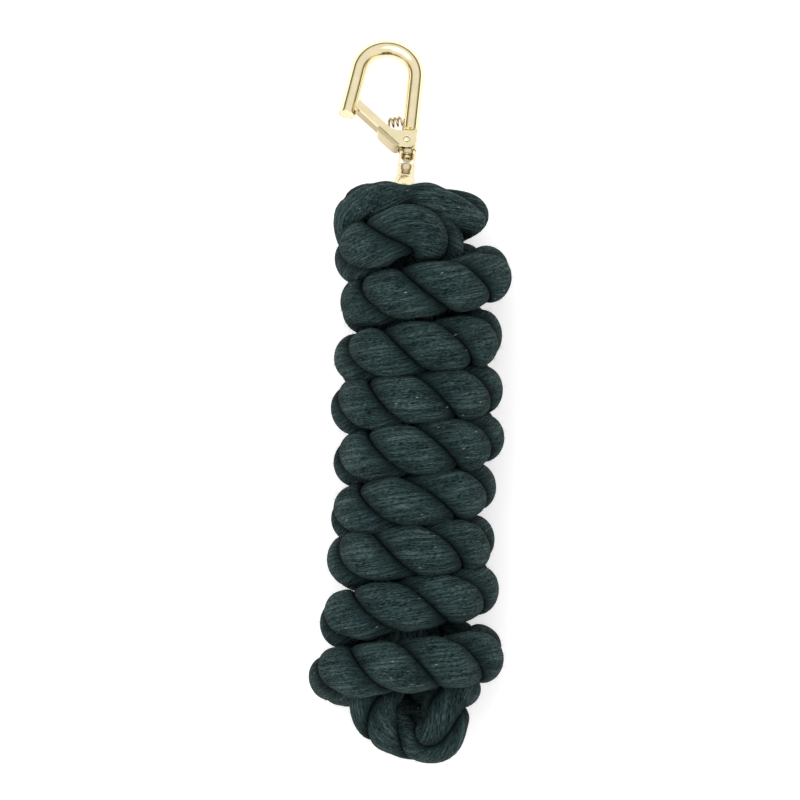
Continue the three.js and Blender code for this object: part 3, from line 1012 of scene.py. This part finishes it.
class Nodes:
    """Short calls for building a material's node tree."""

    def __init__(self, name):
        self.material = bpy.data.materials.new(name)
        self.material.use_nodes = True
        self.tree = self.material.node_tree
        self.shader = self.tree.nodes["Principled BSDF"]

    def add(self, kind, settings=None, **inputs):
        node = self.tree.nodes.new(kind)
        for name, value in (settings or {}).items():
            setattr(node, name, value)
        for name, value in inputs.items():
            self.put(node.inputs[name.replace("_", " ")], value)
        return node

    def put(self, socket, value):
        if isinstance(value, bpy.types.NodeSocket):
            self.tree.links.new(value, socket)
        else:
            socket.default_value = value

    def math(self, operation, a, b=0.0, clamp=False):
        node = self.tree.nodes.new("ShaderNodeMath")
        node.operation = operation
        node.use_clamp = clamp
        self.put(node.inputs[0], a)
        self.put(node.inputs[1], b)
        return node.outputs[0]

    def mix(self, share, a, b):
        node = self.tree.nodes.new("ShaderNodeMix")
        node.data_type = "RGBA"
        self.put(node.inputs["Factor"], share)
        self.put(node.inputs["A"], a)
        self.put(node.inputs["B"], b)
        return node.outputs["Result"]

    def ramp(self, value, low, high):
        node = self.add("ShaderNodeMapRange", {"clamp": True}, Value=value)
        node.inputs["From Min"].default_value = low
        node.inputs["From Max"].default_value = high
        return node.outputs["Result"]

    def attribute(self, name):
        return self.add("ShaderNodeAttribute", {"attribute_name": name}).outputs["Fac"]

    def vector(self, x, y, z=0.0):
        return self.add("ShaderNodeCombineXYZ", None, X=x, Y=y, Z=z).outputs["Vector"]

    def scaled(self, vector, scale):
        node = self.add("ShaderNodeMapping", None, Vector=vector)
        node.inputs["Scale"].default_value = (scale, scale, scale)
        return node.outputs["Vector"]

    def noise(self, vector, detail=2.0):
        node = self.add("ShaderNodeTexNoise", None, Vector=vector, Scale=1.0, Detail=detail)
        return node.outputs["Fac"]

    def set(self, **inputs):
        for name, value in inputs.items():
            self.put(self.shader.inputs[name.replace("_", " ")], value)


def stretched(nodes, across, along, size):
    """A texture place with features of the given width across the yarns and length along them."""
    width, length = size
    return nodes.vector(nodes.math("DIVIDE", across, width), nodes.math("DIVIDE", along, length))


def wandering_yarns(nodes, across, along):
    """The place across the yarns, bent so that they don't run dead straight."""
    wander = nodes.noise(stretched(nodes, across, along, WANDER_SIZE))
    ripple = nodes.noise(stretched(nodes, across, along, RIPPLE_SIZE))
    bent = nodes.math("ADD", across, nodes.math("MULTIPLY", wander, WANDER_REACH))
    return nodes.math("ADD", bent, nodes.math("MULTIPLY", ripple, RIPPLE_REACH))


def cotton_tone(nodes, textures, groove):
    """From 0, dark, to 1, light: the textures' swings, then the shade in the grooves."""
    tone = MIDDLE_TONE
    for value, (middle, weight) in zip(textures, (YARN_TONE, FIBRE_TONE, PATCH_TONE, GRAIN_TONE)):
        swing = nodes.math("MULTIPLY", nodes.math("SUBTRACT", value, middle), weight)
        tone = nodes.math("ADD", tone, swing)
    shade = nodes.math("MULTIPLY", nodes.math("POWER", groove, GROOVE_SHADE_POWER), GROOVE_SHADE)
    shade = nodes.math("SUBTRACT", 1.0, shade, clamp=True)
    return nodes.math("MULTIPLY", tone, shade, clamp=True)


def specked(nodes, colour, across, along):
    """The colour with a few stray tan and blue fibres in it."""
    place = stretched(nodes, across, along, SPECK_SIZE)
    speck = nodes.add("ShaderNodeTexVoronoi", None, Vector=place, Scale=1.0)
    chance = nodes.add("ShaderNodeSeparateColor", None, Color=speck.outputs["Color"])
    near = nodes.math("LESS_THAN", speck.outputs["Distance"], SPECK_RADIUS)
    chosen = nodes.math("GREATER_THAN", chance.outputs["Red"], SPECK_RARITY)
    rare = nodes.math("MULTIPLY", chosen, near)
    tan = nodes.math("GREATER_THAN", chance.outputs["Green"], SPECK_BLUE_SHARE)
    speck_colour = nodes.mix(tan, SPECK_BLUE, SPECK_TAN)
    return nodes.mix(nodes.math("MULTIPLY", rare, SPECK_STRENGTH), colour, speck_colour)


def cotton_bump(nodes, yarn, fibre, grain):
    yarn_part, fibre_part, grain_part = COTTON_BUMP_PARTS
    strength, depth = COTTON_BUMP
    height = nodes.math("ADD", nodes.math("MULTIPLY", yarn, yarn_part),
                        nodes.math("MULTIPLY", fibre, fibre_part))
    height = nodes.math("ADD", height, nodes.math("MULTIPLY", grain, grain_part))
    bump = nodes.add("ShaderNodeBump", None, Strength=strength, Distance=depth, Height=height)
    return bump.outputs["Normal"]


def cotton_material():
    """Dyed cotton yarns of loose fibres, from each strand's own yarn and groove values."""
    nodes = Nodes("green_cotton")
    across = nodes.attribute("yarn_across")
    along = nodes.attribute("yarn_along")
    groove = nodes.attribute("groove")
    bent = wandering_yarns(nodes, across, along)
    cells = nodes.add("ShaderNodeTexVoronoi", {"feature": "DISTANCE_TO_EDGE"},
                      Vector=stretched(nodes, bent, along, YARN_SIZE), Scale=1.0)
    yarn = nodes.ramp(cells.outputs["Distance"], 0.0, YARN_EDGE)
    fibre = nodes.noise(stretched(nodes, bent, along, FIBRE_SIZE), 3.0)
    patch = nodes.noise(stretched(nodes, across, along, PATCH_SIZE), 3.0)
    grain = nodes.noise(stretched(nodes, across, along, GRAIN_SIZE), 3.0)
    tone = cotton_tone(nodes, (yarn, fibre, patch, grain), groove)
    low = nodes.mix(nodes.ramp(tone, 0.0, 0.5), COTTON_DARK, COTTON_MID)
    colour = nodes.mix(nodes.ramp(tone, 0.5, 1.0), low, COTTON_LIGHT)
    colour = specked(nodes, colour, across, along)
    nodes.set(Base_Color=colour, Roughness=COTTON_ROUGHNESS, Specular_IOR_Level=COTTON_GLOSS,
              Normal=cotton_bump(nodes, yarn, fibre, grain))
    return nodes.material


def fuzz_material():
    nodes = Nodes("cotton_fuzz")
    cloud = nodes.noise(nodes.add("ShaderNodeTexCoord").outputs["Object"], 1.0)
    nodes.set(Base_Color=nodes.mix(cloud, COTTON_MID, COTTON_LIGHT), Roughness=FUZZ_ROUGHNESS,
              Specular_IOR_Level=FUZZ_GLOSS)
    return nodes.material


def brass_material(name, colour, roughness):
    """Polished brass, with faint polishing marks, a slightly uneven gloss, and a painted dark
    reflection where a piece's value asks for it.
    """
    nodes = Nodes(name)
    place = nodes.add("ShaderNodeTexCoord").outputs["Object"]
    uneven = nodes.ramp(nodes.noise(nodes.scaled(place, UNEVEN_SCALE), 4.0), 0.3, 0.7)
    rough = nodes.math("ADD", roughness, nodes.math("MULTIPLY", uneven, UNEVEN_GLOSS))
    darker = tuple(value * UNEVEN_SHADE for value in colour[:3]) + (1,)
    shade = nodes.mix(uneven, colour, darker)
    marks = nodes.noise(nodes.scaled(place, MARK_SCALE), 2.0)
    strength, depth = MARK_BUMP
    bump = nodes.add("ShaderNodeBump", None, Strength=strength, Distance=depth, Height=marks)
    # Painted dark reflection: the colour turns to a darker brass where the piece's value is high
    dark_reflection = nodes.attribute("dark_reflection")
    shade = nodes.mix(dark_reflection, shade, PAINTED_DARK_REFLECTION)
    rough = nodes.math("ADD", rough, nodes.math("MULTIPLY", dark_reflection, DARK_REFLECTION_ROUGHNESS))
    nodes.set(Base_Color=shade, Metallic=1.0, Roughness=rough, Normal=bump.outputs["Normal"])
    return nodes.material


# ---- Build ----------------------------------------------------------------------------------

make_camera()
make_floor()
make_lights()
make_rope(cotton_material())
make_hook(
    brass_material("polished_brass", POLISHED_BRASS, POLISHED_ROUGHNESS),
    brass_material("cast_brass", CAST_BRASS, CAST_ROUGHNESS),
    brass_material("spring_wire", SPRING_WIRE, WIRE_ROUGHNESS),
)
